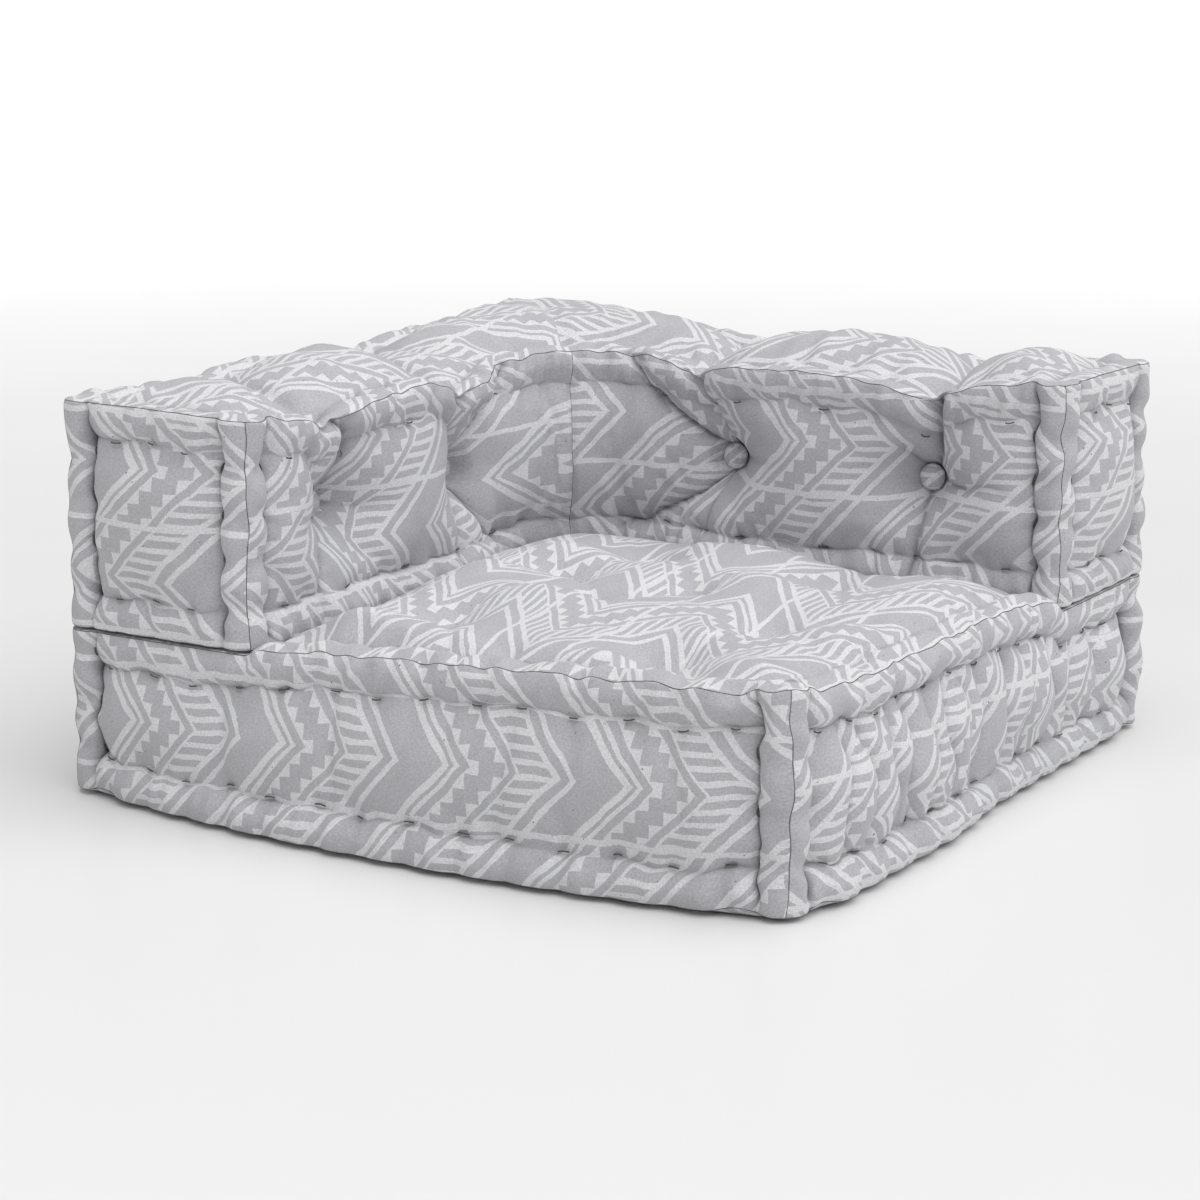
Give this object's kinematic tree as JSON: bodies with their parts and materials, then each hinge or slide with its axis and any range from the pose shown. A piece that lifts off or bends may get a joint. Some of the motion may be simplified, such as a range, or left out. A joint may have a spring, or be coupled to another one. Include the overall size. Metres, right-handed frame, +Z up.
{
  "type": "corner sofa module",
  "caption": "Low corner seat for the floor: a square tufted cushion with an L-shaped tufted back cushion lying loose on two of its edges, both with stuffed rolls along every edge.",
  "frame": {"origin": "on the floor under the middle of the seat cushion", "axes": "+Z up; the back cushion lies along -X and +Y; the seat's free corner is at +X, -Y"},
  "size_m": [1.028, 1.0838, 0.5126],
  "materials": {
    "cover": "printed cotton canvas, white with a grey zigzag pattern",
    "roll": "the same printed canvas, stuffed hard and sewn through",
    "filling": "raw cotton flock",
    "button": "the same canvas over a domed core",
    "twine": "waxed cotton twine"
  },
  "bodies": {
    "seat": {"seat_filling": "filling", "seat_top_panel": "cover", "seat_base_panel": "cover", "seat_front_border": "cover", "seat_right_border": "cover", "seat_rear_border": "cover", "seat_left_border": "cover", "seat_top_roll": "roll", "seat_base_roll": "roll", "seat_corner_rolls": "roll", "seat_tuft_twines": "twine", "seat_top_knots": "twine", "seat_base_knots": "twine"},
    "back": {"back_filling": "filling", "back_top_panel": "cover", "back_base_panel": "cover", "back_inner_left_border": "cover", "back_inner_rear_border": "cover", "back_outer_left_border": "cover", "back_outer_rear_border": "cover", "back_front_end": "cover", "back_right_end": "cover", "back_top_roll": "roll", "back_base_roll": "roll", "back_corner_rolls": "roll", "back_inner_buttons": "button", "back_outer_buttons": "button", "back_tuft_twines": "twine"}
  },
  "joints": [
    {"name": "back_lift", "type": "slide", "parent": "seat", "child": "back", "axis": [0, 0, 1], "range_m": [0, 0.35]}
  ]
}
